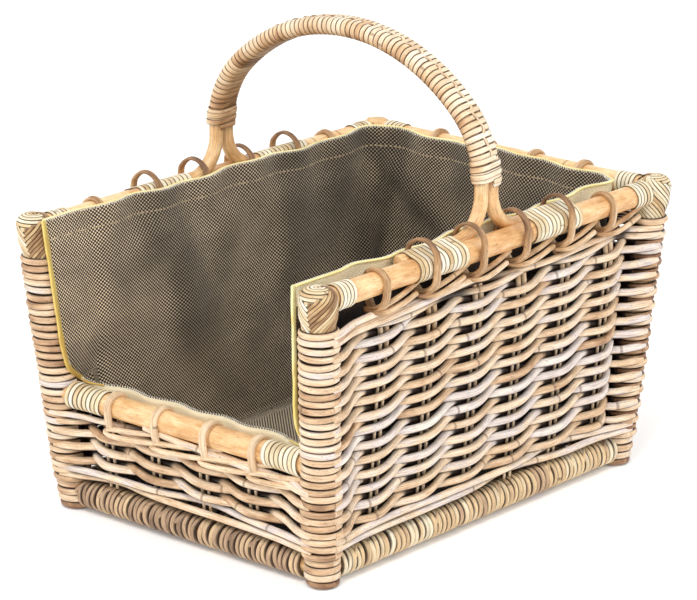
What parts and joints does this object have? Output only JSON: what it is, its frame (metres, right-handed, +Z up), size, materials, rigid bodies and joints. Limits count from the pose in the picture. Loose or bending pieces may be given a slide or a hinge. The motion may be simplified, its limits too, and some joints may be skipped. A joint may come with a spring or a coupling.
{
  "type": "wicker log basket",
  "caption": "Open-fronted wicker basket with a cloth liner and a fixed hoop handle, for storing and carrying firewood.",
  "frame": {"origin": "on the floor, under the middle of the basket's outline", "axes": "+X right, +Y back, +Z up; the low open side faces -Y"},
  "size_m": [0.4628, 0.6248, 0.5524],
  "materials": {
    "post_cane": "peeled cane, satin",
    "rail_cane": "glossy honey cane with faint nodes",
    "base_winding": "round cane, side by side turns",
    "stake_cane": "thin grey-brown cane, satin",
    "weaver_cane": "unpeeled cane, washed grey and cream with dark specks",
    "post_winding": "round cane, stacked turns",
    "flat_cane": "flat split cane, satin cream",
    "handle_cane": "peeled cane, satin",
    "liner_cloth": "coarse basket weave, near black with pale dots, pale yellow reverse",
    "hem_cloth": "pale yellow woven strip"
  },
  "bodies": {
    "root": {"post_front_left": "post_cane", "post_front_right": "post_cane", "post_back_left": "post_cane", "post_back_right": "post_cane", "rail_left": "rail_cane", "rail_right": "rail_cane", "rail_back": "rail_cane", "rail_front": "rail_cane", "base_rail_left": "rail_cane", "base_rail_right": "rail_cane", "base_rail_back": "rail_cane", "base_rail_front": "rail_cane", "base_wrap_left": "base_winding", "base_wrap_right": "base_winding", "base_wrap_back": "base_winding", "base_wrap_front": "base_winding", "floor_bars": "stake_cane", "floor_weave": "weaver_cane", "stakes_left": "stake_cane", "stakes_right": "stake_cane", "stakes_back": "stake_cane", "stakes_front": "stake_cane", "weave_left": "weaver_cane", "weave_right": "weaver_cane", "weave_back": "weaver_cane", "weave_front": "weaver_cane", "post_wrap_front_left": "post_winding", "post_wrap_front_right": "post_winding", "post_wrap_back_left": "post_winding", "post_wrap_back_right": "post_winding", "corner_binding_front_left": "flat_cane", "corner_binding_front_right": "flat_cane", "corner_binding_back_left": "flat_cane", "corner_binding_back_right": "flat_cane", "front_rail_binding_left": "flat_cane", "front_rail_binding_right": "flat_cane", "handle_cane_front": "handle_cane", "handle_cane_back": "handle_cane", "handle_wrap_left": "flat_cane", "handle_wrap_right": "flat_cane", "handle_wrap_top": "flat_cane", "fork_binding_left": "flat_cane", "fork_binding_right": "flat_cane", "leg_lashing_front_left": "flat_cane", "leg_lashing_front_right": "flat_cane", "leg_lashing_back_left": "flat_cane", "leg_lashing_back_right": "flat_cane", "liner": "liner_cloth", "liner_hem_left": "hem_cloth", "liner_hem_right": "hem_cloth"}
  },
  "joints": []
}
